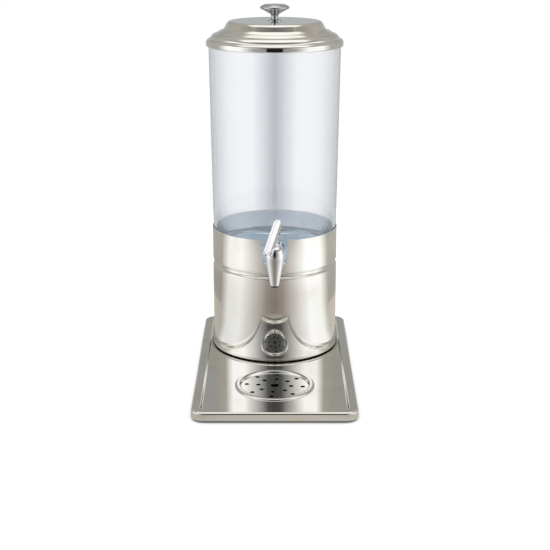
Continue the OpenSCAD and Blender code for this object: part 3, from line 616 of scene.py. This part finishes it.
# Painted light: a faint glow in the platform's steel.
shader = glowing_brushed_steel.node_tree.nodes["Principled BSDF"]
shader.inputs["Emission Color"].default_value = colour("#E9F2F6")
shader.inputs["Emission Strength"].default_value = 0.18
bm = bmesh.new()
outline(bm, (0, platform_high.z), 0,
        [(platform_r - platform_bend, 0), (platform_bend, -90),
         (platform_high.z - platform_bend - platform_low.z, 0)])
lathe(bm)
platform = shape(bm, "platform_dish", tower)
wall(platform, platform_t)
fit(platform, "base", "satin_steel", glowing_brushed_steel, "tank_platform")


# Tank: clear polycarbonate, moulded with a slight draft and a flat seat for the tap. The wall's thickness
# wavers a little, and the plastic has a faint blue tint.
clear_plastic = bpy.data.materials.new("clear_polycarbonate")
clear_plastic.use_nodes = True
tree = clear_plastic.node_tree
shader = tree.nodes["Principled BSDF"]
shader.inputs["Transmission Weight"].default_value = 1
shader.inputs["IOR"].default_value = 1.585
flow_mm = 50
spot = node(tree, "ShaderNodeTexCoord").outputs["Object"]
flow = node(tree, "ShaderNodeTexNoise", Vector=spot, Scale=1 / (flow_mm * MM), Detail=2)
tone = node(tree, "ShaderNodeMix", {"data_type": "RGBA"}, _0=flow.outputs["Fac"],
            _6=colour("#FCFCFD"), _7=colour("#F9FAFB"))
gloss = node(tree, "ShaderNodeMapRange", Value=flow.outputs["Fac"], To_Min=0.0, To_Max=0.03)
waver = node(tree, "ShaderNodeBump", Height=flow.outputs["Fac"], Strength=0.3, Distance=0.05 * MM)
tree.links.new(tone.outputs[2], shader.inputs["Base Color"])
tree.links.new(gloss.outputs[0], shader.inputs["Roughness"])
tree.links.new(waver.outputs[0], shader.inputs["Normal"])
dress("tank", clear_plastic)


# Lid: spun steel with a flat top, a cone, a ledge and a ribbed edge that ends in a rolled rim over the
# tank's mouth.
lid_low, lid_high = in_mm("lid")
lid_r, lid_t, lid_edge_w, knob_hole_r = (lid_high.x - lid_low.x) / 2, 1, 30, 2.2
crown_r, crown_turn, crown_run, cove_r, ledge_slope = 6, 62, 6.7, 9, 13
crown = [(lid_r - lid_edge_w - crown_r - knob_hole_r, 0), (crown_r, -crown_turn), (crown_run, 0),
         (cove_r, crown_turn - ledge_slope)]
brow_slope, dip_slope, step_slope, shelf_slope = 60, 18, 75, 20
rim = [(4, ledge_slope - brow_slope), (2, brow_slope - dip_slope), (5, 0), (8, dip_slope - step_slope),
       (1.5, step_slope - shelf_slope), (2.3, 0), (5, shelf_slope - 90)]
skirt = [(3.5, 0), (2, -90)]
trial = bmesh.new()
ledge_start = outline(trial, (knob_hole_r, 0), 0, crown).co.x
rim_reach = outline(trial, (0, 0), -ledge_slope, rim).co.x
trial.free()
ledge = (lid_r - ledge_start - rim_reach) / math.cos(math.radians(ledge_slope))
bm = bmesh.new()
outline(bm, (knob_hole_r, lid_high.z), 0, crown + [(ledge, 0)] + rim + skirt)
lathe(bm, 240)
lid = shape(bm, "lid_spun", tower)
wall(lid, lid_t)
soften(lid, 0.2)
# The polishing lines run round the lid and draw its highlights out sideways.
spun_steel = metal("polished_spun_steel", "#ECEBE8", "#E4E2DD", 0.045, 0.09, (120, 120, 3), 0.012)
fit(lid, "lid", "polished_steel", spun_steel, "lid")


# Knob: turned from steel bar with a flared neck and a rounded disc, polished, and held from inside the
# lid by a screw on a washer.
knob_low, knob_high = in_mm("lid_knob")
knob_r, foot_r, foot_h = (knob_high.x - knob_low.x) / 2, 10, 0.8
edge_r, foot_slope, flare_slope, knob_slope, top_slope = 2, 165, 30, 25, 28
top_run, top_bend_r = 3.6, 10
flare = [(2.8, 0), (3, 90 - foot_slope), (1, 0), (6, flare_slope - 90), (8, 0),
         (20, knob_slope - flare_slope)]
trial = bmesh.new()
flare_end = outline(trial, (foot_r, foot_h), foot_slope, flare).co.x
trial.free()
edge_run = (knob_r - edge_r * (1 - math.sin(math.radians(knob_slope))) - flare_end) \
    / math.cos(math.radians(knob_slope))
bm = bmesh.new()
tip = outline(bm, (0, 0), 0, [(foot_r, 0), (0, 90), (foot_h, 0), (0, foot_slope - 90)] + flare
              + [(edge_run, 0), (edge_r, 180 - top_slope - knob_slope),
                 (top_run, 0), (top_bend_r, top_slope)])
crown_tip = bmesh.ops.extrude_vert_indiv(bm, verts=[tip])["verts"][0]
crown_tip.co = (0, 0, knob_high.z - knob_low.z)
lathe(bm, 128)
knob = shape(bm, "knob_turned", (0, tower[1], knob_low.z))
# Turning leaves finer rings than spinning. The knob's tone is set darker and bluer than the lid's: painted
# shade for the darker look it has.
turned_steel = metal("polished_turned_steel", "#C6CACE", "#BABEC2", 0.05, 0.09, (60, 60, 1.5), 0.01)
fit(knob, "lid", "polished_steel", turned_steel, "lid_knob")
dress("knob_screw", fastener_steel)
dress("knob_washer", fastener_steel)


# Tap: cast brass, chrome plated, clamped to the tank's seat by a nut with a rubber gasket on each side.
# A spring inside pushes the stem's soft plug on to the outlet, and the lever lifts it.
# Chrome is bluer and sharper than steel, with the slight waves of the casting under it.
tap_chrome = metal("polished_chrome_plate", "#E9EBEE", "#DFE1E4", 0.03, 0.06, (9, 9, 9), 0.008)


def copied(name, edge):
    """A copy of a CAD node with its triangles merged to whole faces, and its edges rounded in mm."""
    bm = bmesh.new()
    bm.from_mesh(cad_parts[name].data)
    bmesh.ops.scale(bm, verts=bm.verts, vec=(1 / MM, 1 / MM, 1 / MM))
    close_up(bm)
    bmesh.ops.dissolve_limit(bm, angle_limit=math.radians(0.5), verts=bm.verts, edges=bm.edges)
    made = shape(bm, name + "_copy")
    if edge:
        soften(made, edge, 3)
    return made


# The spout's last millimetres are darkened: painted shade for the dark end that the real one shows.
# The spout's last millimetres look dark on the real one, from a cause that isn't known.
painted_corner_shade(tap_chrome, (0, 0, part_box("tap_body")[0].z / MM), (0, 0, 1), 1, 3, "#1E1E20")
plated = (("tap_body", "tank", 0.4), ("tap_bonnet", "tank", 0.5), ("tap_lever", "lever", 0.8))
for name, body, edge in plated:
    fit(copied(name, edge), body, "tap_chrome", tap_chrome, name)
# The seals are moulded like the feet, with a finer grain.
seal_rubber = matt("moulded_seal_rubber", "#202022", "#303032", 0.4)
for name in ("tap_front_gasket", "tap_back_gasket", "stem_seal"):
    dress(name, seal_rubber)
white_silicone = matt("moulded_white_silicone", "#DCDCD6", "#CFCFC8", 0.5)
for name in ("bonnet_seal", "seat_plug"):
    dress(name, white_silicone)
for name in ("tap_washer", "tap_nut", "tap_stem", "stem_pin", "lever_pin"):
    dress(name, fastener_steel)

# The spring is copied with a mesh of its own. On the real tap it is squeezed against the bonnet when the
# lever lifts the stem.
spring = copied("tap_spring", 0)
fit(spring, "tank", "fastener_steel", fastener_steel, "tap_spring")
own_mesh(spring)
